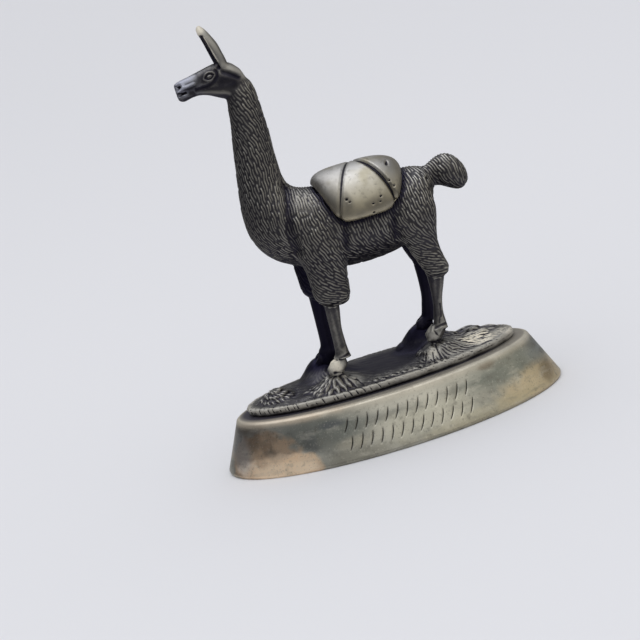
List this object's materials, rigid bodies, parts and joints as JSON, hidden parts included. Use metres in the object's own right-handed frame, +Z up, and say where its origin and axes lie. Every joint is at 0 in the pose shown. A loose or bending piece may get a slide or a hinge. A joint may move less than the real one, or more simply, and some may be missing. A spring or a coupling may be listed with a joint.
{
  "type": "inca llama figure",
  "caption": "Small cast silver llama carrying a roped pack, standing on rocky ground over a low oval flared plinth.",
  "frame": {"origin": "middle of the plinth's underside", "axes": "+Z up through the ears, +X along the plinth towards the tail, the head at -X; -Y is the marked side of the plinth"},
  "size_m": [0.046, 0.0238, 0.0577],
  "materials": {
    "plinth_silver": "polished silver, softly tarnished",
    "oxidised_silver": "silver darkened by oxidation, rubbed bright on the high points",
    "pack_silver": "bright satin silver with small pits"
  },
  "bodies": {
    "root": {"plinth": "plinth_silver", "llama_on_ground": "oxidised_silver", "pack": "pack_silver"}
  },
  "joints": []
}
